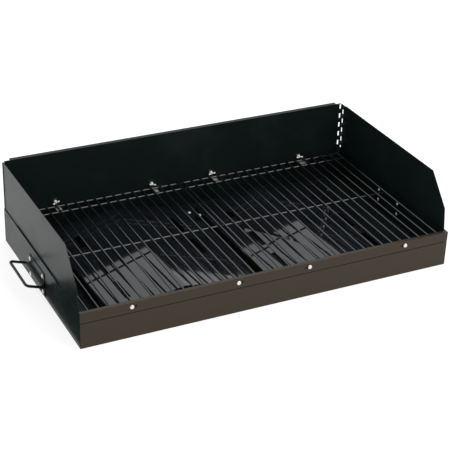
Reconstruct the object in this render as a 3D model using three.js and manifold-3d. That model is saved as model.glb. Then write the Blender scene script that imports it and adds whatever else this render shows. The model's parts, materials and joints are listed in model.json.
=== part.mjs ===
// A charbroiler grill: a shallow sheet-steel firebox that stands over separate burners, with two
// slotted heat deflectors, two wire grates, a folding three-sided windscreen and two bail handles.
// Millimetres, +X to the right, +Y to the back, +Z up. The origin is the centre of the base.
import * as THREE from 'three';
import { mergeVertices } from 'three/addons/utils/BufferGeometryUtils.js';
import Module from 'manifold-3d';

const wasm = await Module();
wasm.setup();

// Driving dimensions
const WIDTH = 914.4;
const DEPTH = 508;
const BOX_HEIGHT = 86.6;
const SCREEN_TOP = 210.6;
const SHEET = 1.2;
const GAP = 0.3;

const HALF_W = WIDTH / 2;
const FRONT = -DEPTH / 2;
const BACK = DEPTH / 2;

// Front face: a lower apron and an upper rail over the trough's front wall
const SEAM_LOW = 60.8;
const SEAM_HIGH = 62.2;
const LIP = 9;
const END_CLEARANCE = 0.3;
const TROUGH_HALF_W = HALF_W - SHEET - END_CLEARANCE;

// Openings in the floor for the flames of the burners below
const BURNER_X = 198;
const BURNER_HALF = { x: 110, y: 150 };

// Fasteners through the front and back walls
const BOLT_X = [-340, -88.4, 88.4, 340];
const REAR_BOLT_X = [-332, -81, 81, 332];
const FRONT_BOLT_Z = 76;
const REAR_BOLT_Z = 82.8;
const BOLT_R = 2.4;
const HOLE_R = BOLT_R + GAP;
const HEAD_R = 5;
const SLOT_REACH = 11;
const WING_TURN = [22, -14, 6, 0];

// Grates: round bars welded over cross rods
const BAR_PITCH = 24.45;
const BAR_COUNT = { left: 18, right: 19 };
const OUTER_BAR_X = 434.3;
const BAR_R = 2.2;
const ROD_R = 2.4;
const BAR_Z = 82;
const WELD = 0.3;
const ROD_Z = BAR_Z - BAR_R - ROD_R + WELD;
const BAR_FRONT = FRONT + 12;
const BAR_BACK = FRONT + 487;
const ROD_Y = [FRONT + 246, FRONT + 455, FRONT + 484];
const FRONT_ROD = { y: FRONT + 16.2, z: 69.5 };

// Heat deflectors: shallow roofs, pitched down towards the back
const ROOF_X = 198;
const ROOF_HALF = 175;
const ROOF_SLOPE = 0.15;
const ROOF_PITCH = 0.05;
const ROOF_LENGTH = 430;
const RIDGE_Z = { left: 62.5, right: 49.5 };
const EAVE_LIP = 7;
const ROOF_SLOT = { x: 121, y: -20, length: 78, width: 13, pitch: 122 };
const FRONT_LEG = { x: 160, y: -150 };
const REAR_LEG = { x: 184, y: 176 };
const SCREW_Y = REAR_LEG.y - 7;
const FOOT = SHEET + 1.9;
const FOOT_BAR = 3;

// Windscreen and its knuckle hinges
const PIN_X = HALF_W - 3;
const PIN_Y = FRONT + 503.7;
const PIN_R = 1.3;
const BARREL_R = 2.8;
const BORE_R = PIN_R + GAP;
const KNUCKLE_PITCH = 25.4;
const KNUCKLE_TOP = 208.3;
const KNUCKLES = 5;
const KNUCKLE_GAP = 0.3;
const NOTCH = { left: { side: 0.6, back: 0.6 }, right: { side: 6, back: 3.6 } };
const SIDE_BOTTOM = BOX_HEIGHT + 0.6;
const TONGUE_BOTTOM = 60;
const FLANGE = 10;
const FLANGE_INSET = 20;

// Handles
const HANDLE = {
  left: { y: FRONT + 273, z: 33, rivetZ: [13, 52.5] },
  right: { y: FRONT + 257, z: 42, rivetZ: [28.5, 55.5] },
};
const RIVET_Y = 42.6;
const WIRE_R = 3.2;
const BAIL = { reach: 43.5, half: 59, stub: 30, rise: 18 };
const PLATE = { half: 52, margin: 9 };
const RIM_STRIP = { front: FRONT + 137, back: FRONT + 414, drop: 15 };

// Finishes
const finish = (color, roughness, metalness) =>
  new THREE.MeshStandardMaterial({ color, roughness, metalness });
const BROWN = finish(0x4a4038, 0.5, 0.2);
const BLACK = finish(0x1c2326, 0.42, 0.2);
const GLOSS = finish(0x14161c, 0.16, 0.3);
const GRATE_ENAMEL = finish(0x1c1e20, 0.18, 0.1);
const ZINC = finish(0xe4e4e0, 0.35, 0.9);
const PLATED = finish(0x8f9090, 0.45, 0.9);
const WIRE = finish(0x15191b, 0.4, 0.5);

const group = new THREE.Group();

function add(name, geometry, material, parent = group) {
  const mesh = new THREE.Mesh(geometry, material);
  mesh.name = name;
  parent.add(mesh);
  return mesh;
}

// A closed geometry as a solid, and a solid as a geometry
function solid(geometry) {
  const bare = geometry.clone();
  bare.deleteAttribute('normal');
  bare.deleteAttribute('uv');
  const merged = mergeVertices(bare, 1e-4);
  const mesh = new wasm.Mesh({
    numProp: 3,
    vertProperties: new Float32Array(merged.attributes.position.array),
    triVerts: new Uint32Array(merged.index.array),
  });
  return new wasm.Manifold(mesh);
}

function geometryOf(manifold) {
  const mesh = manifold.getMesh();
  const geometry = new THREE.BufferGeometry();
  geometry.setAttribute('position', new THREE.BufferAttribute(new Float32Array(mesh.vertProperties), 3));
  geometry.setIndex(new THREE.BufferAttribute(new Uint32Array(mesh.triVerts), 1));
  geometry.computeVertexNormals();
  return geometry;
}

const join = (pieces) => geometryOf(pieces.map(solid).reduce((whole, piece) => whole.add(piece)));

const cut = (geometry, cutters) =>
  geometryOf(cutters.map(solid).reduce((whole, cutter) => whole.subtract(cutter), solid(geometry)));

function box([x0, x1], [y0, y1], [z0, z1]) {
  const geometry = new THREE.BoxGeometry(x1 - x0, y1 - y0, z1 - z0);
  return geometry.translate((x0 + x1) / 2, (y0 + y1) / 2, (z0 + z1) / 2);
}

// A round bar between two points
function bar(from, to, radius, sides) {
  const a = new THREE.Vector3(...from);
  const b = new THREE.Vector3(...to);
  const along = b.clone().sub(a);
  const geometry = new THREE.CylinderGeometry(radius, radius, along.length(), sides);
  const turn = new THREE.Quaternion().setFromUnitVectors(new THREE.Vector3(0, 1, 0), along.normalize());
  const middle = a.add(b).multiplyScalar(0.5);
  return geometry.applyQuaternion(turn).translate(middle.x, middle.y, middle.z);
}

// A sheet profile in the XZ plane, carried along Y from y0 to y1
function alongY(points, y0, y1) {
  const shape = new THREE.Shape(points.map(([x, z]) => new THREE.Vector2(x, z)));
  const geometry = new THREE.ExtrudeGeometry(shape, { depth: y1 - y0, bevelEnabled: false });
  return geometry.rotateX(Math.PI / 2).translate(0, y1, 0);
}

// A sheet profile in the YZ plane, carried along X from x0 to x1
function alongX(points, x0, x1) {
  const shape = new THREE.Shape(points.map(([y, z]) => new THREE.Vector2(y, z)));
  const geometry = new THREE.ExtrudeGeometry(shape, { depth: x1 - x0, bevelEnabled: false });
  return geometry.rotateY(Math.PI / 2).rotateX(Math.PI / 2).translate(x0, 0, 0);
}

// Front wall, floor and back wall folded from one sheet
function makeTrough() {
  const y0 = FRONT + SHEET + GAP;
  const profile = [
    [y0, 0], [BACK, 0], [BACK, BOX_HEIGHT], [BACK - SHEET, BOX_HEIGHT],
    [BACK - SHEET, SHEET], [y0 + SHEET, SHEET],
    [y0 + SHEET, BOX_HEIGHT - SHEET - GAP], [y0, BOX_HEIGHT - SHEET - GAP],
  ];
  const cutters = [-BURNER_X, BURNER_X].map((x) => box(
    [x - BURNER_HALF.x, x + BURNER_HALF.x], [-BURNER_HALF.y, BURNER_HALF.y], [-1, SHEET + 1]));
  for (const x of BOLT_X) {
    cutters.push(bar([x, y0 - 1, FRONT_BOLT_Z], [x, y0 + SHEET + 1, FRONT_BOLT_Z], HOLE_R, 8));
  }
  for (const x of REAR_BOLT_X) {
    cutters.push(bar([x, BACK - SHEET - 1, REAR_BOLT_Z], [x, BACK + 1, REAR_BOLT_Z], HOLE_R, 8));
  }
  add('firebox_trough', cut(alongX(profile, -TROUGH_HALF_W, TROUGH_HALF_W), cutters), BLACK);
}

function makeFrontFace() {
  add('front_apron', box([-HALF_W, HALF_W], [FRONT, FRONT + SHEET], [0, SEAM_LOW]), BROWN);
  const rail = join([
    box([-HALF_W, HALF_W], [FRONT, FRONT + SHEET], [SEAM_HIGH, BOX_HEIGHT]),
    box([-TROUGH_HALF_W, TROUGH_HALF_W], [FRONT, FRONT + LIP], [BOX_HEIGHT - SHEET, BOX_HEIGHT]),
  ]);
  const slots = BOLT_X.map((x) => {
    const reach = x < 0 ? [x - HOLE_R, x + SLOT_REACH] : [x - SLOT_REACH, x + HOLE_R];
    return box(reach, [FRONT - 1, FRONT + SHEET + 1], [FRONT_BOLT_Z - HOLE_R, FRONT_BOLT_Z + HOLE_R]);
  });
  add('front_rail', cut(rail, slots), BROWN);
}

// End wall with inward flanges along its base, front and back, and the strip over its rim
function makeEnd(side, name) {
  const across = (a, b) => [Math.min(side * a, side * b), Math.max(side * a, side * b)];
  const wall = across(HALF_W - SHEET, HALF_W);
  const flange = across(HALF_W - SHEET - 12, HALF_W - SHEET + 0.2);
  const y0 = FRONT + SHEET + GAP;
  const low = SHEET + GAP;
  const front = y0 + SHEET + GAP;
  const back = BACK - SHEET - GAP;
  const panel = join([
    box(wall, [y0, BACK], [0, BOX_HEIGHT]),
    box(flange, [front, front + SHEET], [low, 60]),
    box(flange, [back - SHEET, back], [low, 60]),
    box(flange, [front, back], [low, low + SHEET]),
  ]);
  const holes = handleRivets(name).map(([y, z]) => bar([side * (HALF_W - 3), y, z],
    [side * (HALF_W + 2), y, z], HOLE_R, 8));
  add(`${name}_end_panel`, cut(panel, holes), BLACK);

  const outer = HALF_W + GAP;
  const top = BOX_HEIGHT + GAP;
  const strip = [
    [outer, top - RIM_STRIP.drop], [outer + 1, top - RIM_STRIP.drop], [outer + 1, top + 1],
    [HALF_W - SHEET, top + 1], [HALF_W - SHEET, top], [outer, top],
  ].map(([x, z]) => [side * x, z]);
  add(`${name}_rim_strip`, alongY(ordered(strip), RIM_STRIP.front, RIM_STRIP.back), BLACK);
}

// The same outline, turning anticlockwise
function ordered(points) {
  const area = THREE.ShapeUtils.area(points.map(([x, z]) => new THREE.Vector2(x, z)));
  return area < 0 ? [...points].reverse() : points;
}

// A wire grate: bars front to back, turned down at the front, over cross rods
function makeGrate(side, name) {
  const count = BAR_COUNT[name];
  const inner = OUTER_BAR_X - BAR_PITCH * (count - 1);
  const wires = [];
  for (let i = 0; i < count; i += 1) {
    const x = side * (OUTER_BAR_X - i * BAR_PITCH);
    wires.push(bar([x, BAR_FRONT - BAR_R, BAR_Z], [x, BAR_BACK, BAR_Z], BAR_R, 6));
    wires.push(bar([x, BAR_FRONT, FRONT_ROD.z], [x, BAR_FRONT, BAR_Z], BAR_R * 0.97, 6));
  }
  const ends = [side * (inner - 3), side * (OUTER_BAR_X + 4)];
  for (const y of ROD_Y) {
    wires.push(bar([ends[0], y, ROD_Z], [ends[1], y, ROD_Z], ROD_R, 6));
  }
  wires.push(bar([ends[0], FRONT_ROD.y, FRONT_ROD.z], [ends[1], FRONT_ROD.y, FRONT_ROD.z], ROD_R, 6));
  add(`${name}_grate`, join(wires), GRATE_ENAMEL);
}

// A pan-head screw standing on the plane z = 0, its shank below
function screw() {
  const profile = [[0, -5], [2, -5], [2, 0], [4.2, 0], [3, 1.9], [0, 2.2]];
  return new THREE.LatheGeometry(profile.map(([r, z]) => new THREE.Vector2(r, z)), 8)
    .rotateX(Math.PI / 2);
}

// One deflector: a slotted roof with two welded front legs and a screwed-on rear stand
function makeDeflector(side, name) {
  const rise = ROOF_HALF * ROOF_SLOPE;
  const angle = Math.atan(ROOF_SLOPE);
  const roof = alongY([
    [-ROOF_HALF, -rise - EAVE_LIP], [-ROOF_HALF + SHEET, -rise - EAVE_LIP],
    [-ROOF_HALF + SHEET, -rise - SHEET], [0, -SHEET],
    [ROOF_HALF - SHEET, -rise - SHEET], [ROOF_HALF - SHEET, -rise - EAVE_LIP],
    [ROOF_HALF, -rise - EAVE_LIP], [ROOF_HALF, -rise], [0, 0], [-ROOF_HALF, -rise],
  ], -ROOF_LENGTH / 2, ROOF_LENGTH / 2);
  const slots = [];
  for (const x of [-ROOF_SLOT.x, ROOF_SLOT.x]) {
    for (const row of [-1, 0, 1]) {
      const y = ROOF_SLOT.y + row * ROOF_SLOT.pitch;
      slots.push(box([x - ROOF_SLOT.width / 2, x + ROOF_SLOT.width / 2],
        [y - ROOF_SLOT.length / 2, y + ROOF_SLOT.length / 2], [-60, 10]));
    }
  }
  // Pieces at a leg are drawn on the slope of the roof; the floor falls away from it by the pitch
  const atLeg = (geometry, sx, { x, y }) => geometry.rotateY(sx * angle)
    .translate(sx * x, y, -x * ROOF_SLOPE);
  const floorAt = (y) => FOOT - RIDGE_Z[name] + ROOF_PITCH * y;
  const drop = ({ x, y }) => (-x * ROOF_SLOPE - floorAt(y)) / Math.cos(angle);
  const post = (sx, leg, top) => atLeg(box([-7, 7], [0, SHEET], [-drop(leg), -top]), sx, leg);

  const frontLegs = [-1, 1].map((sx) => join([
    post(sx, FRONT_LEG, 0.8 * SHEET),
    atLeg(box([-7, 7], [0, 12], [-1.8 * SHEET, -0.8 * SHEET]), sx, FRONT_LEG),
  ]));
  // Ears that reach past the eaves, for the screws into the rear stand
  const ears = [-1, 1].map((sx) => atLeg(box(
    [Math.min(-sx * 14, sx * 8), Math.max(-sx * 14, sx * 8)], [-15, 3], [-SHEET, 0]), sx, REAR_LEG));
  const under = SHEET + GAP;
  const rearStand = [-1, 1].flatMap((sx) => [
    post(sx, REAR_LEG, under),
    atLeg(box([-7, 7], [-14, SHEET], [-under - SHEET, -under]), sx, REAR_LEG),
  ]);
  const foot = floorAt(REAR_LEG.y) + 0.5;
  const spread = REAR_LEG.x - drop(REAR_LEG) * Math.sin(angle);
  rearStand.push(box([-spread, spread], [REAR_LEG.y, REAR_LEG.y + SHEET], [foot, foot + FOOT_BAR]));
  const screwAt = { x: REAR_LEG.x, y: SCREW_Y };
  const holes = () => [-1, 1].map((sx) => atLeg(bar([0, 0, -12], [0, 0, 5], 2.3, 8), sx, screwAt));

  const seat = new THREE.Group();
  seat.position.set(side * ROOF_X, 0, RIDGE_Z[name]);
  seat.rotation.x = -Math.atan(ROOF_PITCH);
  group.add(seat);
  add(`${name}_deflector`, cut(join([roof, ...frontLegs, ...ears]), [...slots, ...holes()]), GLOSS, seat);
  add(`${name}_deflector_stand`, cut(join(rearStand), holes()), BLACK, seat);
  for (const [sx, where] of [[-1, 'left'], [1, 'right']]) {
    add(`${name}_deflector_screw_${where}`, atLeg(screw().translate(0, 0, GAP), sx, screwAt), ZINC, seat);
  }
}

// Vertical stretch of the knuckle that lies n half-pitches below the top of the hinge
function knuckleSpan(n) {
  const high = KNUCKLE_TOP - n * KNUCKLE_PITCH / 2;
  return [Math.max(high - KNUCKLE_PITCH / 2, SIDE_BOTTOM), high];
}

// Barrels of one leaf of a hinge, and the notches that clear the other leaf's barrels
function leaf(side, isSide) {
  const x = side * PIN_X;
  const deep = NOTCH[side < 0 ? 'left' : 'right'];
  const barrels = [];
  const notches = [];
  for (let n = 0; n < 2 * KNUCKLES; n += 1) {
    const [low, high] = knuckleSpan(n);
    const own = (n % 2 === 0) === isSide;
    if (own) {
      const tube = bar([x, PIN_Y, low + KNUCKLE_GAP], [x, PIN_Y, high - KNUCKLE_GAP], BARREL_R, 8);
      barrels.push(tube);
    } else if (isSide) {
      notches.push(box([x - 5, x + 5], [PIN_Y - BARREL_R - deep.side, PIN_Y + 5], [low, high]));
    } else {
      const reach = [side * (PIN_X - BARREL_R - deep.back), side * (PIN_X + 8)].sort((a, b) => a - b);
      notches.push(box(reach, [PIN_Y - 5, PIN_Y + 5], [low, high]));
    }
  }
  return { barrels, notches };
}

const bore = (side) => bar([side * PIN_X, PIN_Y, 60], [side * PIN_X, PIN_Y, 220], BORE_R, 6);

function makeWindscreenBack() {
  const y = [FRONT + 504.4, FRONT + 504.4 + SHEET];
  const edge = PIN_X - 2.2;
  const flat = [
    box([-edge, edge], y, [SIDE_BOTTOM, SCREEN_TOP]),
    box([-TROUGH_HALF_W + 14, TROUGH_HALF_W - 14], y, [TONGUE_BOTTOM, SIDE_BOTTOM + 1]),
    box([-HALF_W + FLANGE_INSET, HALF_W - FLANGE_INSET],
      [y[1] - 0.2, y[1] + FLANGE], [SCREEN_TOP - SHEET, SCREEN_TOP]),
  ];
  const leaves = [leaf(-1, false), leaf(1, false)];
  const sheet = cut(join(flat), leaves.flatMap(({ notches }) => notches));
  const whole = join([sheet, ...leaves.flatMap(({ barrels }) => barrels)]);
  const holes = REAR_BOLT_X.map((x) => bar([x, y[0] - 1, REAR_BOLT_Z],
    [x, y[1] + 1, REAR_BOLT_Z], HOLE_R, 8));
  add('windscreen_back', cut(whole, [bore(-1), bore(1), ...holes]), BLACK);
}

// A side of the windscreen: its front edge leans back, and its top front corner is cut off
function makeWindscreenSide(side, name) {
  const x = [side * (PIN_X + 0.1), side * (PIN_X + 0.1 + SHEET)].sort((a, b) => a - b);
  const top = KNUCKLE_TOP + 1.4;
  const outline = [
    [FRONT + 13.5, SIDE_BOTTOM], [PIN_Y - 2.2, SIDE_BOTTOM], [PIN_Y - 2.2, KNUCKLE_TOP - KNUCKLE_GAP],
    [FRONT + 487, KNUCKLE_TOP - KNUCKLE_GAP], [FRONT + 484, top], [FRONT + 82, top], [FRONT + 20, 139],
  ];
  const { barrels, notches } = leaf(side, true);
  const sheet = cut(alongX(outline, x[0], x[1]), notches);
  const whole = join([sheet, ...barrels]);
  add(`windscreen_${name}`, cut(whole, [bore(side)]), BLACK);
  add(`${name}_hinge_pin`, bar([side * PIN_X, PIN_Y, SIDE_BOTTOM], [side * PIN_X, PIN_Y, SCREEN_TOP - 2],
    PIN_R, 6), ZINC);
}

// Bolt with a domed head, along +Y from the inner face of its head
function bolt(length) {
  const profile = [
    [0, -3.2], [2.6, -2.8], [4.3, -1.6], [HEAD_R, 0], [BOLT_R, 0], [BOLT_R, length], [0, length],
  ];
  return new THREE.LatheGeometry(profile.map(([r, y]) => new THREE.Vector2(r, y)), 8);
}

function nut(radius, height, sides) {
  const body = new THREE.CylinderGeometry(radius, radius, height, sides).translate(0, height / 2, 0);
  return { body, hole: new THREE.CylinderGeometry(HOLE_R, HOLE_R, height + 20, 8) };
}

// Hub with two wings that lean away from the wall
function wingNut(turn) {
  const { body, hole } = nut(5, 6, 8);
  const wing = (side) => new THREE.BoxGeometry(4.4, 8, 2)
    .rotateZ(-side * 0.25)
    .translate(side * 4.2, 6.4, 0);
  return cut(join([body, wing(-1), wing(1)]), [hole]).rotateY(THREE.MathUtils.degToRad(turn));
}

function makeFasteners() {
  BOLT_X.forEach((x, i) => {
    const n = i + 1;
    const wall = FRONT + 2 * SHEET + GAP;
    const bracketFront = wall + GAP;
    const low = FRONT_BOLT_Z - 10.8;
    add(`front_bracket_${n}`, cut(alongX([
      [bracketFront, low], [FRONT + 28, low], [FRONT + 28, low + 1.5], [bracketFront + 1.5, low + 1.5],
      [bracketFront + 1.5, FRONT_BOLT_Z + 7], [bracketFront, FRONT_BOLT_Z + 7],
    ], x - 7, x + 7), [bar([x, wall - 1, FRONT_BOLT_Z], [x, wall + 5, FRONT_BOLT_Z], HOLE_R, 8)]), BLACK);
    const head = add(`front_bolt_${n}`, bolt(9.4), ZINC);
    head.position.set(x, FRONT - GAP, FRONT_BOLT_Z);
    const { body, hole } = nut(5.2, 3.8, 6);
    const hex = add(`front_nut_${n}`, cut(body, [hole]), ZINC);
    hex.position.set(x, bracketFront + 1.5 + GAP, FRONT_BOLT_Z);

    const rearX = REAR_BOLT_X[i];
    const screenFace = FRONT + 504.4;
    const bracketBack = screenFace - GAP;
    const seat = ROD_Z - ROD_R - 0.4;
    add(`rear_bracket_${n}`, cut(alongX([
      [bracketBack, seat - 1.5], [bracketBack, REAR_BOLT_Z + 8], [bracketBack - 1.5, REAR_BOLT_Z + 8],
      [bracketBack - 1.5, seat], [FRONT + 470, seat], [FRONT + 470, seat - 1.5],
    ], rearX - 7, rearX + 7), [bar([rearX, bracketBack - 5, REAR_BOLT_Z], [rearX, screenFace, REAR_BOLT_Z],
      HOLE_R, 8)]),
    PLATED);
    const rear = add(`rear_bolt_${n}`, bolt(15), ZINC);
    rear.position.set(rearX, BACK + GAP, REAR_BOLT_Z);
    rear.rotation.z = Math.PI;
    const wings = add(`rear_wing_nut_${n}`, wingNut(WING_TURN[i]), ZINC);
    wings.position.set(rearX, bracketBack - 1.5 - GAP, REAR_BOLT_Z);
    wings.rotation.z = Math.PI;
  });
}

function handleRivets(name) {
  const { y, rivetZ } = HANDLE[name];
  return [-1, 1].flatMap((s) => rivetZ.map((z) => [y + s * RIVET_Y, z]));
}

// Bail handle: a bent wire whose ends turn in the round channel of a riveted plate
function makeHandle(side, name) {
  const { y: handleY, z: handleZ, rivetZ } = HANDLE[name];
  const axisX = HALF_W + GAP + WIRE_R + 0.2;
  const tilt = THREE.MathUtils.degToRad(BAIL.rise);
  const reach = BAIL.reach;
  const half = BAIL.half;
  const bend = 9;
  const at = (u, v) => new THREE.Vector3(side * u * Math.cos(tilt), v, u * Math.sin(tilt));
  const path = new THREE.CurvePath();
  const line = (a, b) => path.add(new THREE.LineCurve3(a, b));
  const corner = (a, b, c) => path.add(new THREE.QuadraticBezierCurve3(a, b, c));
  line(at(0, -half + BAIL.stub), at(0, -half + bend * 0.6));
  corner(at(0, -half + bend * 0.6), at(0, -half), at(bend * 0.6, -half));
  line(at(bend * 0.6, -half), at(reach - bend, -half));
  corner(at(reach - bend, -half), at(reach, -half), at(reach, -half + bend));
  line(at(reach, -half + bend), at(reach, half - bend));
  corner(at(reach, half - bend), at(reach, half), at(reach - bend, half));
  line(at(reach - bend, half), at(bend * 0.6, half));
  corner(at(bend * 0.6, half), at(0, half), at(0, half - bend * 0.6));
  line(at(0, half - bend * 0.6), at(0, half - BAIL.stub));
  const section = new THREE.Shape(new THREE.EllipseCurve(0, 0, WIRE_R, WIRE_R).getPoints(6).slice(0, 6));
  const wire = new THREE.ExtrudeGeometry(section, { steps: 52, extrudePath: path });
  const bail = add(`${name}_handle_bail`, wire, WIRE);
  bail.position.set(side * axisX, handleY, handleZ);

  const inner = HALF_W + GAP;
  const clear = WIRE_R + 0.4;
  const arch = (radius) => [0, 1, 2, 3, 4].map((i) => {
    const turn = Math.PI * (i / 4 - 0.5);
    const scale = radius / Math.cos(Math.PI / 8);
    return [axisX + scale * Math.cos(turn), handleZ + scale * Math.sin(turn)];
  });
  const outside = arch(clear + SHEET);
  const inside = arch(clear);
  const low = rivetZ[0] - PLATE.margin;
  const high = rivetZ[1] + PLATE.margin;
  const outline = [
    [inner, low], [inner + SHEET, low], [inner + SHEET, outside[0][1]], ...outside,
    [inner + SHEET, outside[4][1]], [inner + SHEET, high], [inner, high],
    [inner, inside[4][1]], ...[...inside].reverse(), [inner, inside[0][1]],
  ].map(([x, z]) => [side * x, z]);
  const plate = alongY(ordered(outline), handleY - PLATE.half, handleY + PLATE.half);
  const holes = handleRivets(name).map(([y, z]) => bar([side * (inner - 2), y, z],
    [side * (inner + 4), y, z], HOLE_R, 8));
  add(`${name}_handle_plate`, cut(plate, holes), BLACK);

  handleRivets(name).forEach(([y, z], i) => {
    const tail = -(2 * SHEET + 3 * GAP);
    const head = [[0, tail - 1.8], [3, tail - 1.5], [4, tail], [BOLT_R, tail],
      [BOLT_R, 0], [5.2, 0], [3.6, 2], [0, 2.7]];
    const rivet = new THREE.LatheGeometry(head.map(([r, h]) => new THREE.Vector2(r, h)), 8)
      .rotateZ(-side * Math.PI / 2)
      .translate(side * (inner + SHEET + GAP), y, z);
    add(`${name}_handle_rivet_${i + 1}`, rivet, ZINC);
  });
}

makeTrough();
makeFrontFace();
makeWindscreenBack();
makeFasteners();
for (const [side, name] of [[-1, 'left'], [1, 'right']]) {
  makeEnd(side, name);
  makeDeflector(side, name);
  makeGrate(side, name);
  makeWindscreenSide(side, name);
  makeHandle(side, name);
}

export default group;
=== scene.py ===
"""A charbroiler grill: a shallow sheet-steel firebox with two slotted heat deflectors, two wire
grates, a folding three-sided windscreen and two bail handles. Metres, +X right, +Y back, +Z up."""

import json
import math

import bmesh
import bpy
import numpy as np
from mathutils import Matrix, Vector

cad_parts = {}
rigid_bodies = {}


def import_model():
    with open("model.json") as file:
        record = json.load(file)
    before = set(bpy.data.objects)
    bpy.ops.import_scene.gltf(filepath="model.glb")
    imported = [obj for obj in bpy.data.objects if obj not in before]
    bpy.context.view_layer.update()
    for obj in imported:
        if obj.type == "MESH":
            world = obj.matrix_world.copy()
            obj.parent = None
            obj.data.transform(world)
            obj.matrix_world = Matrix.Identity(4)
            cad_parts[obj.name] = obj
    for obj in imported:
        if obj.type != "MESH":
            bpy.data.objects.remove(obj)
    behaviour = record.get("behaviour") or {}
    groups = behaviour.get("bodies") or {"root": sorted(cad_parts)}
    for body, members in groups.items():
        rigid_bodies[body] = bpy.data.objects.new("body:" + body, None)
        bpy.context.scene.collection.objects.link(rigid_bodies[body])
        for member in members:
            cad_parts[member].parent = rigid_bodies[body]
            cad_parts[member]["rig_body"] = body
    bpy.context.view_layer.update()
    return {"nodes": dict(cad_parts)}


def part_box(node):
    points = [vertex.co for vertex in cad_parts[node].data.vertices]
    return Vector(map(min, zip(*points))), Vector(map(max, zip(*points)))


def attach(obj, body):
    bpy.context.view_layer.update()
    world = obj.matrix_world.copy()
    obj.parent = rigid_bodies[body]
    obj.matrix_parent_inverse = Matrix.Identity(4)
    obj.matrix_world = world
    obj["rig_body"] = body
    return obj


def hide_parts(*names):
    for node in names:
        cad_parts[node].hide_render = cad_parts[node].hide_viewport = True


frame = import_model()

bl_info = {
    "name": "Charbroiler Grill",
    "version": (1, 0, 0),
    "blender": (4, 5, 0),
    "location": "View3D > Sidebar > Grill",
    "description": "Builds a charbroiler grill with wire grates, deflectors and a folding windscreen",
    "category": "Add Mesh",
}

MM = 0.001
SIDES = (("left", -1), ("right", 1))
FRONT = -0.254
BAR_PITCH = 24.45 * MM
OUTER_BAR_X = 434.3 * MM
BAR_COUNT = {"left": 18, "right": 19}
BAR_R = 2.2 * MM
ROD_R = 2.4 * MM
BAR_Z = 82 * MM
ROD_Z = 77.7 * MM
BAR_FRONT = FRONT + 12 * MM
ROD_Y = (FRONT + 246 * MM, FRONT + 455 * MM, FRONT + 484 * MM)
FRONT_ROD = (FRONT + 16.2 * MM, 69.5 * MM)
HOOK_LAP = 2 * MM
HOOK_DROP = 4 * MM
HANDLE = {"left": (FRONT + 273 * MM, 33 * MM), "right": (FRONT + 257 * MM, 42 * MM)}
BAIL_X = 460.9 * MM
BAIL_REACH = 43.5 * MM
BAIL_HALF = 59 * MM
BAIL_STUB = 30 * MM
BAIL_RISE = math.radians(18)
STUB_BEND = 5.5 * MM
GRIP_BEND = 9 * MM
BAIL_R = 3.2 * MM
WING_TURN = (22, -14, 6, 0)
FACE_SEAT = 254.3 * MM
PLATE_SEAT = 459 * MM
# Profiles as (radius, height above the seat)
BOLT_HEAD = (5 * MM, 3.2 * MM)
RIVET_TAIL = [(0, -0.0051), (0.0025, -0.0049), (0.0037, -0.0042), (0.004, -0.0033),
              (0.0024, -0.0033), (0.0024, -0.0001), (0.0051, 0)]
RIVET_HEAD = (5.2 * MM, 2.7 * MM)
NUT_HUB = [(0, 0), (0.0042, 0.0002), (0.0044, 0.0008), (0.0036, 0.0052), (0.0030, 0.0058),
           (0.0026, 0.0058), (0.0025, 0.0030), (0, 0.0030)]
NUT_LOBE = (3.3 * MM, 1.6 * MM)
LOBE_REACH = 6 * MM
LOBE_RISE = 8 * MM
# Painted shade on the rear brackets: dark from here back to the wall, where the wing nut shades them
PAINTED_SHADE_FROM = FRONT + 486 * MM
PAINTED_SHADE_TO = FRONT + 489 * MM

# The stage: a floor that sweeps up into a wall, its ground left unlit under the box, and a black card
# that stands in for the floor's shadow beside the box in reflections
FLOOR_SIDE = 9.0
FLOOR_FRONT = -8.0
FLOOR_DROP = 0.0006
SWEEP_FROM = 5
SWEEP_R = 2
WALL_TOP = 8.0
UNLIT_X = (0.440, 0.452)
UNLIT_Y = (0.238, 0.250)
CARD_X = (-0.76, -0.462)
CARD_Y = (-0.42, 0.02)
CARD_Z = 0.0004

# The camera: place, and turn in degrees
EYE = (-1.2611, -2.4976, 1.5957)
YAW, PITCH, ROLL = 26.81, 28.55, 1.97
LENS = 108.19
WORLD_GLOW = 0.48
FLOOR_GLOW = 0.78


# Sizes and colours a user would change


class GrillFinish(bpy.types.PropertyGroup):
    brown: bpy.props.FloatVectorProperty(
        name="Front enamel", description="Colour of the rail and apron", subtype="COLOR",
        size=3, min=0, max=1, default=(0.0195, 0.0130, 0.0078))
    black: bpy.props.FloatVectorProperty(
        name="Sheet paint", description="Colour of the painted sheet steel", subtype="COLOR",
        size=3, min=0, max=1, default=(0.0080, 0.0132, 0.0132))
    gloss: bpy.props.FloatVectorProperty(
        name="Deflector enamel", description="Colour of the glossy deflectors", subtype="COLOR",
        size=3, min=0, max=1, default=(0.006, 0.0075, 0.010))
    wire: bpy.props.FloatVectorProperty(
        name="Grate enamel", description="Colour of the enamelled grate wire", subtype="COLOR",
        size=3, min=0, max=1, default=(0.009, 0.010, 0.011))
    zinc: bpy.props.FloatVectorProperty(
        name="Fastener plating", description="Colour of bolts, nuts and rivets", subtype="COLOR",
        size=3, min=0, max=1, default=(0.94, 0.94, 0.92))
    bracket: bpy.props.FloatVectorProperty(
        name="Bracket plating", description="Colour of the dull rear brackets", subtype="COLOR",
        size=3, min=0, max=1, default=(0.50, 0.50, 0.49))


class GrillSizes(bpy.types.PropertyGroup):
    edge: bpy.props.FloatProperty(
        name="Edge round", description="Radius on the edges of the sheet metal",
        default=0.0004, min=0.0001, max=0.0006, unit="LENGTH")
    wire_bend: bpy.props.FloatProperty(
        name="Wire bend", description="Radius of the bend where a bar turns down at the front",
        default=0.0045, min=0.003, max=0.008, unit="LENGTH")
    key_power: bpy.props.FloatProperty(
        name="Key light", description="Power of the large overhead light in watts",
        default=72, min=0, max=1000)


# Materials


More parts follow.
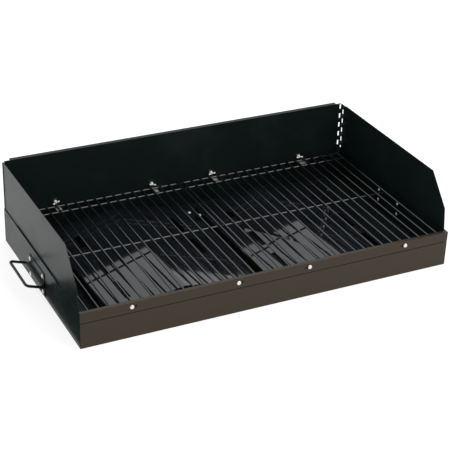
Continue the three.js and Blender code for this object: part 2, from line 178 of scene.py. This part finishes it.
class Value:
    """A shader socket with arithmetic, so that maths on it is written as an expression."""

    def __init__(self, finish, socket):
        self.finish, self.socket = finish, socket

    def _maths(self, operation, a, b):
        node = self.finish.node("ShaderNodeMath", {"operation": operation}, {0: a, 1: b})
        return Value(self.finish, node.outputs[0])

    def __add__(self, other):
        return self._maths("ADD", self, other)

    def __radd__(self, other):
        return self._maths("ADD", other, self)

    def __rsub__(self, other):
        return self._maths("SUBTRACT", other, self)

    def __mul__(self, other):
        return self._maths("MULTIPLY", self, other)


class Finish:
    """A node material built up from noises over Object coordinates."""

    def __init__(self, name):
        self.material = bpy.data.materials.new(name)
        self.material.use_nodes = True
        self.tree = self.material.node_tree
        self.tree.nodes.clear()
        self.place = self.node("ShaderNodeTexCoord").outputs["Object"]

    def node(self, kind, settings=None, values=None):
        made = self.tree.nodes.new(kind)
        for key, value in (settings or {}).items():
            setattr(made, key, value)
        for key, value in (values or {}).items():
            if isinstance(value, Value):
                value = value.socket
            if isinstance(value, bpy.types.NodeSocket):
                self.tree.links.new(value, made.inputs[key])
            else:
                made.inputs[key].default_value = value
        return made

    def stretch(self, scale):
        return self.node("ShaderNodeMapping", None, {0: self.place, "Scale": scale}).outputs[0]

    def noise(self, scale, detail=3.0, rough=0.5, along=None):
        place = self.stretch(along) if along else self.place
        made = self.node("ShaderNodeTexNoise", None,
                         {"Vector": place, "Scale": scale, "Detail": detail, "Roughness": rough})
        return Value(self, made.outputs["Fac"])

    def band(self, value, low, high):
        """0 below low, 1 above high, smooth between."""
        made = self.node("ShaderNodeMapRange", {"interpolation_type": "SMOOTHSTEP"},
                         {0: value, 1: low, 2: high, 3: 0.0, 4: 1.0})
        return Value(self, made.outputs[0])

    def blend(self, factor, a, b):
        """Colour a where factor is 0 and b where it is 1."""
        made = self.node("ShaderNodeMix", {"data_type": "RGBA"})
        for socket, value in ((made.inputs[0], factor), (made.inputs[6], a), (made.inputs[7], b)):
            if isinstance(value, Value):
                value = value.socket
            if isinstance(value, bpy.types.NodeSocket):
                self.tree.links.new(value, socket)
            elif socket is made.inputs[0]:
                socket.default_value = value
            else:
                socket.default_value = (*value[:3], 1)
        return made.outputs[2]

    def bump(self, height, distance):
        return self.node("ShaderNodeBump", None,
                         {"Height": height, "Distance": distance, "Strength": 1.0}).outputs[0]

    def done(self, colour, rough, normal, **fixed):
        values = {"Base Color": colour, "Roughness": rough, "Normal": normal}
        values.update({key.replace("_", " "): value for key, value in fixed.items()})
        shader = self.node("ShaderNodeBsdfPrincipled", None, values)
        out = self.node("ShaderNodeOutputMaterial")
        self.tree.links.new(shader.outputs[0], out.inputs[0])
        return self.material


def shade(colour, factor):
    return tuple(min(1.0, channel * factor) for channel in colour)


def enamel_brown(colour):
    """Baked enamel: broad drift in tone, fine speckle, faint orange peel."""
    f = Finish("front_enamel")
    drift = f.noise(7, 3)
    speck = f.band(f.noise(900, 2), 0.62, 0.74)
    base = f.blend(drift, shade(colour, 0.82), shade(colour, 1.2))
    base = f.blend(speck * 0.35, base, shade(colour, 2.2))
    rough = 0.36 + drift * 0.10 + speck * 0.08
    peel = f.noise(420, 2) + f.noise(1600, 2) * 0.3
    return f.done(base, rough, f.bump(peel, 0.00006), Metallic=0.0, IOR=1.46,
                  Specular_Tint=(1.0, 0.84, 0.66, 1.0))


def paint_black(colour):
    """High-heat paint on steel: fine grain, handling marks along the sheet, dusty patches."""
    f = Finish("sheet_paint")
    dust = f.band(f.noise(9, 5, 0.6), 0.45, 0.75)
    scuff = f.band(f.noise(60, 4, 0.7, along=(1.0, 1.0, 9.0)), 0.64, 0.78)
    base = f.blend(dust, colour, shade(colour, 1.6))
    base = f.blend(scuff * 0.3, base, shade(colour, 3.0))
    rough = 0.30 + dust * 0.10 + scuff * 0.08
    grain = f.noise(1400, 2) + f.noise(380, 2) * 0.6
    return f.done(base, rough, f.bump(grain, 0.00005), Metallic=0.0, IOR=1.22,
                  Specular_Tint=(0.87, 1.0, 1.0, 1.0))


def enamel_gloss(colour):
    """Porcelain enamel: near-mirror, with slow waviness and a few pinholes."""
    f = Finish("deflector_enamel")
    wave = f.noise(30, 2)
    pin = f.band(f.noise(1100, 1), 0.78, 0.84)
    base = f.blend(f.noise(12, 3), shade(colour, 0.8), shade(colour, 1.5))
    rough = 0.05 + wave * 0.03 + pin * 0.15
    return f.done(base, rough, f.bump(wave + pin * -0.2, 0.00005), Metallic=0.0, IOR=1.62,
                  Specular_Tint=(0.93, 1.0, 1.0, 1.0))


def enamel_wire(colour):
    """Glossy enamel on drawn wire: slow runs along the bar, small dull spots from heat."""
    f = Finish("grate_enamel")
    runs = f.noise(260, 3, 0.5, along=(1.0, 0.08, 1.0))
    burnt = f.band(f.noise(45, 3), 0.58, 0.78)
    base = f.blend(runs, shade(colour, 0.8), shade(colour, 1.4))
    base = f.blend(burnt * 0.4, base, shade(colour, 2.4))
    rough = 0.16 + runs * 0.08 + burnt * 0.12
    return f.done(base, rough, f.bump(runs, 0.00004), Metallic=0.0, IOR=1.75)


def plated_zinc(colour):
    """Zinc plating: cloudy crystals and fine scratches."""
    f = Finish("zinc_plating")
    cloud = f.noise(700, 3)
    base = f.blend(cloud, shade(colour, 0.82), colour)
    return f.done(base, 0.24 + cloud * 0.14, f.bump(cloud, 0.00003), Metallic=0.2, IOR=1.6)


def coated_wire(colour):
    """Black dip coating on the bail wire, slightly rubbed."""
    f = Finish("bail_coating")
    rub = f.band(f.noise(120, 4), 0.6, 0.78)
    base = f.blend(rub * 0.4, shade(colour, 0.7), shade(colour, 2.2))
    return f.done(base, 0.40 + rub * 0.12, f.bump(f.noise(900, 2), 0.00004), Metallic=0.0, IOR=1.4)


def plated_dull(colour):
    """Dull plating on folded steel, bright at the free end and painted dark by the wall: painted shade
    where the wing nut's shadow falls.
    """
    f = Finish("bracket_plating")
    cloud = f.noise(240, 4)
    rub = f.band(f.noise(90, 4, 0.7, along=(1.0, 4.0, 1.0)), 0.6, 0.76)
    y = Value(f, f.node("ShaderNodeSeparateXYZ", None, {0: f.place}).outputs[1])
    # Painted shade: black and not metallic towards the wall, where the wing nut's shadow falls
    painted_shade = f.band(y, PAINTED_SHADE_FROM, PAINTED_SHADE_TO)
    base = f.blend(cloud, shade(colour, 0.75), shade(colour, 1.1))
    base = f.blend(painted_shade, base, (0.006, 0.008, 0.008))
    return f.done(base, 0.38 + cloud * 0.12 + rub * 0.08, f.bump(cloud, 0.00003),
                  Metallic=0.6 - painted_shade * 0.6)


FINISHES = {}


def finish(slot):
    """The material for one of the record's slots, made once."""
    makers = {
        "brown_face": (enamel_brown, "brown"), "black_sheet": (paint_black, "black"),
        "deflector_gloss": (enamel_gloss, "gloss"), "grate_wire": (enamel_wire, "wire"),
        "bright_fastener": (plated_zinc, "zinc"), "bail_wire": (coated_wire, "black"),
        "plated_bracket": (plated_dull, "bracket"),
    }
    if slot not in FINISHES:
        make, prop = makers[slot]
        FINISHES[slot] = make(tuple(getattr(bpy.context.scene.grill_finish, prop)))
    return FINISHES[slot]


# Surfaces


def surface(name, points, faces, smooth=False):
    """A mesh object from an array of corners and a list of quads and triangles."""
    mesh = bpy.data.meshes.new(name)
    mesh.from_pydata(points.tolist(), [], faces)
    mesh.polygons.foreach_set("use_smooth", np.full(len(mesh.polygons), smooth))
    mesh.update()
    made = bpy.data.objects.new(name, mesh)
    bpy.context.scene.collection.objects.link(made)
    return made


def grid_faces(rows, cols, first=0):
    """Quads of a grid whose rows are closed loops, wound so that they face out of a tube."""
    r, c = np.meshgrid(np.arange(rows - 1), np.arange(cols), indexing="ij")
    a = first + r * cols + c
    b = first + r * cols + (c + 1) % cols
    return np.stack([a, b, b + cols, a + cols], -1).reshape(-1, 4)


def tube(path, radius, sides):
    """Circle of the radius carried along the path: point = path + radius (n cos u + b sin u), with
    n and b square to the path's direction, each end closed to a domed centre."""
    path = np.asarray(path, float)
    step = np.gradient(path, axis=0)
    t = step / np.linalg.norm(step, axis=1)[:, None]
    flat = np.linalg.svd(path - path.mean(0))[2][2]
    if np.linalg.norm(np.cross(path[-1] - path[0], path[len(path) // 2] - path[0])) < 1e-12:
        flat = np.array([0.0, 0.0, 1.0]) if abs(t[0][2]) < 0.9 else np.array([1.0, 0.0, 0.0])
    b = np.broadcast_to(flat, t.shape)
    n = np.cross(b, t)
    n = n / np.linalg.norm(n, axis=1)[:, None]
    b = np.cross(t, n)
    u = np.linspace(0, 2 * np.pi, sides, endpoint=False)
    ring = n[:, None] * np.cos(u)[None, :, None] + b[:, None] * np.sin(u)[None, :, None]
    body = path[:, None] + radius * ring
    caps = []
    for k, s in ((0, -1), (-1, 1)):
        caps.append((path[k] + s * t[k] * radius * 0.35)[None] + ring[k] * radius * 0.8)
    rows = np.concatenate([caps[0][None], body, caps[1][None]])
    points = rows.reshape(-1, 3)
    faces = grid_faces(len(rows), sides)
    poles = np.array([path[0] - t[0] * radius * 0.5, path[-1] + t[-1] * radius * 0.5])
    last = (len(rows) - 1) * sides
    c = np.arange(sides)
    d = (c + 1) % sides
    low = np.stack([d, c, np.full(sides, len(points))], 1)
    high = np.stack([last + c, last + d, np.full(sides, len(points) + 1)], 1)
    return np.concatenate([points, poles]), faces, np.concatenate([low, high])


def turned(profile, sides, at, axis):
    """Profile of (radius, height) turned round axis: point = at + h axis + r (p cos u + q sin u)."""
    profile = np.asarray(profile, float)
    k = np.asarray(axis, float)
    k = k / np.linalg.norm(k)
    p = np.cross(k, (0.0, 0.0, 1.0) if abs(k[2]) < 0.9 else (1.0, 0.0, 0.0))
    p = p / np.linalg.norm(p)
    q = np.cross(k, p)
    u = np.linspace(0, 2 * np.pi, sides, endpoint=False)
    ring = p[None] * np.cos(u)[:, None] + q[None] * np.sin(u)[:, None]
    inner = profile[1:-1]
    rows = np.asarray(at, float) + inner[:, 1, None, None] * k + inner[:, 0, None, None] * ring[None]
    points = rows.reshape(-1, 3)
    poles = np.asarray(at, float) + profile[[0, -1], 1, None] * k
    last = (len(inner) - 1) * sides
    c = np.arange(sides)
    d = (c + 1) % sides
    low = np.stack([d, c, np.full(sides, len(points))], 1)
    high = np.stack([last + c, last + d, np.full(sides, len(points) + 1)], 1)
    return np.concatenate([points, poles]), grid_faces(len(inner), sides), np.concatenate([low, high])


def gather(name, parts):
    """One smooth object from several (points, quads, triangles) sets."""
    points, faces, first = [], [], 0
    for p, quads, tris in parts:
        points.append(p)
        faces.extend((quads + first).tolist())
        faces.extend((tris + first).tolist())
        first += len(p)
    return surface(name, np.concatenate(points), faces, smooth=True)


def body_of_node(node):
    return frame["nodes"][node]["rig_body"]


def settle(piece, slot, *nodes):
    """Gives a new piece its finish and lets it stand for CAD nodes of one body."""
    piece.data.materials.clear()
    piece.data.materials.append(finish(slot))
    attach(piece, body_of_node(nodes[0]))
    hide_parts(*nodes)
    return piece


def sheet_piece(node, slot):
    """The folded sheet of a CAD node with its corners joined and its edges rounded."""
    work = bmesh.new()
    work.from_mesh(frame["nodes"][node].data)
    bmesh.ops.remove_doubles(work, verts=work.verts, dist=1e-6)
    bmesh.ops.dissolve_limit(work, angle_limit=math.radians(0.5), verts=work.verts, edges=work.edges)
    mesh = bpy.data.meshes.new(node + "_sheet")
    work.to_mesh(mesh)
    work.free()
    piece = bpy.data.objects.new(node + "_sheet", mesh)
    bpy.context.scene.collection.objects.link(piece)
    edge = piece.modifiers.new("edge", "BEVEL")
    edge.width, edge.segments = bpy.context.scene.grill_sizes.edge, 2
    edge.limit_method, edge.angle_limit = "ANGLE", math.radians(30)
    edge.use_clamp_overlap, edge.harden_normals = True, True
    return settle(piece, slot, node)


class Step(bpy.types.Operator):
    bl_options = {"REGISTER", "UNDO"}


class GRILL_OT_firebox(Step):
    """Trough, end panels, rim strips, brackets and the back of the windscreen"""

    bl_idname = "grill.firebox"
    bl_label = "Firebox"

    def execute(self, context):
        for node in ["firebox_trough", "windscreen_back"] + [
            f"{side}_{part}" for side, _ in SIDES
            for part in ("end_panel", "rim_strip", "handle_plate", "deflector_stand")
        ] + [f"front_bracket_{n}" for n in range(1, 5)]:
            sheet_piece(node, "black_sheet")
        for n in range(1, 5):
            sheet_piece(f"rear_bracket_{n}", "plated_bracket")
        return {"FINISHED"}


class GRILL_OT_front(Step):
    """Apron and slotted rail of the front face"""

    bl_idname = "grill.front"
    bl_label = "Front face"

    def execute(self, context):
        for node in ("front_apron", "front_rail"):
            sheet_piece(node, "brown_face")
        return {"FINISHED"}


class GRILL_OT_wings(Step):
    """Folding side panels of the windscreen"""

    bl_idname = "grill.wings"
    bl_label = "Windscreen sides"

    def execute(self, context):
        for side, _ in SIDES:
            sheet_piece("windscreen_" + side, "black_sheet")
        return {"FINISHED"}


class GRILL_OT_deflectors(Step):
    """Slotted roof-shaped heat deflectors"""

    bl_idname = "grill.deflectors"
    bl_label = "Deflectors"

    def execute(self, context):
        for side, _ in SIDES:
            sheet_piece(side + "_deflector", "deflector_gloss")
        return {"FINISHED"}


class GRILL_OT_grates(Step):
    """Enamelled wire grates: bars bent down at the front and hooked over the last rod"""

    bl_idname = "grill.grates"
    bl_label = "Grates"

    def execute(self, context):
        bend = context.scene.grill_sizes.wire_bend
        turn = np.linspace(0, np.pi / 2, 7)
        for side, sign in SIDES:
            count = BAR_COUNT[side]
            # A bar in its own plane: up from the front rod, round the bend, back, down at the end
            rise = np.stack([
                np.full(3, BAR_FRONT), np.linspace(FRONT_ROD[1] - ROD_R, BAR_Z - bend, 3)], 1)
            over = np.stack([
                BAR_FRONT + bend - bend * np.cos(turn), BAR_Z - bend + bend * np.sin(turn)], 1)
            end = ROD_Y[2] + ROD_R
            run = np.stack([np.linspace(BAR_FRONT + bend, end - HOOK_LAP, 24)[1:], np.full(23, BAR_Z)], 1)
            drop = HOOK_DROP
            hook = np.stack([
                end - HOOK_LAP + drop * np.sin(turn), BAR_Z - drop + drop * np.cos(turn)], 1)[1:]
            yz = np.concatenate([rise, over[1:], run, hook])
            xs = sign * (OUTER_BAR_X - BAR_PITCH * np.arange(count))
            parts = [tube(np.column_stack([np.full(len(yz), x), yz]), BAR_R, 10) for x in xs]
            ends = sign * np.array([OUTER_BAR_X + 0.004, OUTER_BAR_X - BAR_PITCH * (count - 1) - 0.003])
            for y, z in [(y, ROD_Z) for y in ROD_Y] + [FRONT_ROD]:
                line = np.linspace((ends[0], y, z), (ends[1], y, z), 30)
                parts.append(tube(line, ROD_R, 12))
            settle(gather(side + "_wire_grate", parts), "grate_wire", side + "_grate")
        return {"FINISHED"}


class GRILL_OT_handles(Step):
    """Bail handles of bent wire, raised off their plates"""

    bl_idname = "grill.handles"
    bl_label = "Bail handles"

    def execute(self, context):
        t = np.linspace(0, np.pi / 2, 9)
        small, large = STUB_BEND, GRIP_BEND
        for side, sign in SIDES:
            # Half the bail in (reach, along): stub, small corner, leg, large corner, grip
            stub = np.stack([np.zeros(4), np.linspace(BAIL_STUB - BAIL_HALF, small - BAIL_HALF, 4)], 1)
            first = np.stack([small - small * np.cos(t), small - BAIL_HALF - small * np.sin(t)], 1)[1:]
            leg = np.stack([np.linspace(small, BAIL_REACH - large, 6)[1:], np.full(5, -BAIL_HALF)], 1)
            second = np.stack([
                BAIL_REACH - large + large * np.sin(t), large - BAIL_HALF - large * np.cos(t)], 1)[1:]
            grip = np.stack([np.full(7, BAIL_REACH), np.linspace(large - BAIL_HALF, 0, 8)[1:]], 1)
            half = np.concatenate([stub, first, leg, second, grip])
            flat = np.concatenate([half, (half * (1, -1))[-2::-1]])
            reach = flat[:, 0]
            y, z = HANDLE[side]
            path = np.column_stack([
                sign * (BAIL_X + reach * math.cos(BAIL_RISE)), y + flat[:, 1],
                z + reach * math.sin(BAIL_RISE)])
            settle(gather(side + "_bail", [tube(path, BAIL_R, 20)]), "bail_wire", side + "_handle_bail")
        return {"FINISHED"}


def dome(radius, height, count=9):
    """Half of an ellipse as (radius, height), from the rim up to the middle."""
    t = np.linspace(0, np.pi / 2, count)
    return np.stack([radius * np.cos(t), height * np.sin(t)], 1)


class GRILL_OT_fasteners(Step):
    """Bolts, rivets and wing nuts as round pieces; plain nuts, screws and pins keep their solids"""

    bl_idname = "grill.fasteners"
    bl_label = "Fasteners"

    def execute(self, context):
        for end, into in (("front", 1), ("rear", -1)):
            for n in range(1, 5):
                node = f"{end}_bolt_{n}"
                low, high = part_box(node)
                centre = (low + high) / 2
                seat = -FACE_SEAT if end == "front" else FACE_SEAT
                shank = abs((high.y if end == "front" else low.y) - seat)
                head = dome(*BOLT_HEAD, 10)
                profile = np.concatenate([
                    [(0, -shank), (0.0020, -shank), (0.0024, -shank + 0.0005),
                     (0.0024, -0.0001), (0.0049, 0)],
                    head])
                at = (centre.x, seat, centre.z)
                piece = gather(f"{end}_bolt_turned_{n}", [turned(profile, 28, at, (0, -into, 0))])
                settle(piece, "bright_fastener", node)
        for side, sign in SIDES:
            for n in range(1, 5):
                node = f"{side}_handle_rivet_{n}"
                low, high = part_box(node)
                centre = (low + high) / 2
                profile = np.concatenate([RIVET_TAIL, dome(*RIVET_HEAD)])
                at = (PLATE_SEAT * sign, centre.y, centre.z)
                piece = gather(f"{side}_rivet_turned_{n}", [turned(profile, 24, at, (sign, 0, 0))])
                settle(piece, "bright_fastener", node)
        for n, turn in enumerate(WING_TURN, 1):
            node = f"rear_wing_nut_{n}"
            low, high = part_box(node)
            centre = (low + high) / 2
            along = np.array([math.cos(math.radians(turn)), 0, math.sin(math.radians(turn))])
            across = np.array([-along[2], 0, along[0]])
            parts = [turned(NUT_HUB, 24, (centre.x, high.y, centre.z), (0, -1, 0))]
            rim = dome(*NUT_LOBE, 7)
            lobe = np.concatenate([(rim * (1, -1))[::-1], rim[1:]])
            for sign in (-1, 1):
                at = np.array([centre.x, high.y - LOBE_RISE, centre.z]) + sign * LOBE_REACH * along
                parts.append(turned(lobe, 24, at, across))
            settle(gather(f"wing_nut_{n}", parts), "bright_fastener", node)
        for node, thing in frame["nodes"].items():
            if "front_nut" in node or "deflector_screw" in node or "hinge_pin" in node:
                thing.data.materials.clear()
                thing.data.materials.append(finish("bright_fastener"))
        return {"FINISHED"}


class GRILL_OT_stage(Step):
    """Plain white floor, soft lights and the camera"""

    bl_idname = "grill.stage"
    bl_label = "Stage"

    def execute(self, context):
        scene = context.scene
        # Floor and wall in one sweep: flat to the bend, a quarter circle, then upright
        s = np.linspace(0, np.pi / 2, 16)
        bend = np.stack([SWEEP_FROM + SWEEP_R * np.sin(s), SWEEP_R - SWEEP_R * np.cos(s)], 1)
        yz = np.concatenate([[(FLOOR_FRONT, 0.0)], bend, [(SWEEP_FROM + SWEEP_R, WALL_TOP)]])
        xs = np.array([-FLOOR_SIDE, FLOOR_SIDE])
        points = np.column_stack([np.tile(xs, len(yz)), np.repeat(yz, 2, axis=0)]) - (0, 0, FLOOR_DROP)
        rows = np.arange(len(yz) - 1) * 2
        faces = np.stack([rows, rows + 1, rows + 3, rows + 2], 1)
        floor = surface("floor", points, faces.tolist())
        f = Finish("floor_paper")
        tone = f.noise(3, 2)
        base = f.blend(tone, (0.34, 0.34, 0.34), (0.36, 0.36, 0.36))
        # The paper glows all over but for the ground hidden under the box
        x, y = (Value(f, f.node("ShaderNodeMath", {"operation": "ABSOLUTE"}, {
            0: f.node("ShaderNodeSeparateXYZ", None, {0: f.place}).outputs[axis]}).outputs[0])
            for axis in (0, 1))
        bare = f.blend(f.band(x, *UNLIT_X), f.blend(f.band(y, *UNLIT_Y), (0, 0, 0), (1, 1, 1)),
                       (1, 1, 1))
        floor.data.materials.append(f.done(
            base, 0.9 + tone * 0.02, f.bump(tone, 0.0001), Metallic=0.0,
            Emission_Color=bare, Emission_Strength=FLOOR_GLOW, Specular_IOR_Level=0.0))

        # A black card on the floor beside the left end, seen only in reflections: a painted shadow
        # standing in for the floor's shade beside the box
        u, v = np.meshgrid(np.linspace(*CARD_X, 4), np.linspace(*CARD_Y, 6), indexing="ij")
        first = (np.arange(3)[:, None] * 6 + np.arange(5)).ravel()
        card = surface("card", np.stack([u, v, np.full_like(u, CARD_Z)], -1).reshape(-1, 3),
                       np.stack([first, first + 6, first + 7, first + 1], -1).tolist())
        # Painted shadow: the card's near-black colour stands in for shade on the floor beside the left
        # end
        k = Finish("card_cloth")
        shadow_card_tone = k.noise(300, 2)
        card.data.materials.append(k.done(
            k.blend(shadow_card_tone, (0.004, 0.004, 0.004), (0.008, 0.008, 0.008)), 0.9 + shadow_card_tone * 0.05,
            k.bump(shadow_card_tone, 0.0001), Metallic=0.0, Specular_IOR_Level=0.0))
        card.visible_camera = card.visible_diffuse = card.visible_shadow = False

        world = bpy.data.worlds.new("studio")
        world.use_nodes = True
        back = world.node_tree.nodes["Background"]
        back.inputs[0].default_value, back.inputs[1].default_value = (1, 1, 1, 1), WORLD_GLOW
        scene.world = world
        scene.view_settings.view_transform = "Standard"

        for name, at, to, size, power in (
            ("key", (1.3, -1.3, 2.9), (0, 0, 0), (4.2, 3.2), scene.grill_sizes.key_power),
            ("top", (0.3, 0.9, 3.4), (0, 0.1, 0), (4.0, 3.0), 34),
        ):
            light = bpy.data.lights.new(name, "AREA")
            light.shape, light.size, light.size_y, light.energy = "RECTANGLE", size[0], size[1], power
            lamp = bpy.data.objects.new(name, light)
            lamp.location = at
            lamp.rotation_euler = (Vector(to) - Vector(at)).to_track_quat("-Z", "Y").to_euler()
            scene.collection.objects.link(lamp)

        camera = bpy.data.cameras.new("camera")
        camera.lens, camera.sensor_width, camera.clip_end = LENS, 36, 100
        yaw, pitch, roll = (math.radians(a) for a in (YAW, PITCH, ROLL))
        ahead = Vector((
            math.sin(yaw) * math.cos(pitch), math.cos(yaw) * math.cos(pitch), -math.sin(pitch)))
        level = Vector((math.cos(yaw), -math.sin(yaw), 0))
        up = level.cross(ahead)
        right = math.cos(roll) * level + math.sin(roll) * up
        top = -math.sin(roll) * level + math.cos(roll) * up
        turn = Matrix((right, top, -ahead)).transposed()
        eye = bpy.data.objects.new("camera", camera)
        eye.matrix_world = Matrix.Translation(EYE) @ turn.to_4x4()
        scene.collection.objects.link(eye)
        scene.camera = eye
        return {"FINISHED"}


class GRILL_PT_panel(bpy.types.Panel):
    bl_idname = "GRILL_PT_panel"
    bl_label = "Charbroiler Grill"
    bl_space_type = "VIEW_3D"
    bl_region_type = "UI"
    bl_category = "Grill"

    def draw(self, context):
        for group in (context.scene.grill_sizes, context.scene.grill_finish):
            for name in group.__annotations__:
                self.layout.prop(group, name)
        for step in STEPS:
            self.layout.operator(step.bl_idname)


STEPS = (GRILL_OT_firebox, GRILL_OT_front, GRILL_OT_wings, GRILL_OT_deflectors, GRILL_OT_grates,
         GRILL_OT_handles, GRILL_OT_fasteners, GRILL_OT_stage)
CLASSES = (GrillFinish, GrillSizes, *STEPS, GRILL_PT_panel)


def register():
    for item in CLASSES:
        bpy.utils.register_class(item)
    bpy.types.Scene.grill_finish = bpy.props.PointerProperty(type=GrillFinish)
    bpy.types.Scene.grill_sizes = bpy.props.PointerProperty(type=GrillSizes)


def unregister():
    del bpy.types.Scene.grill_sizes
    del bpy.types.Scene.grill_finish
    for item in reversed(CLASSES):
        bpy.utils.unregister_class(item)


def main():
    register()
    for step in STEPS:
        group, name = step.bl_idname.split(".")
        getattr(getattr(bpy.ops, group), name)()


if __name__ == "__main__":
    main()
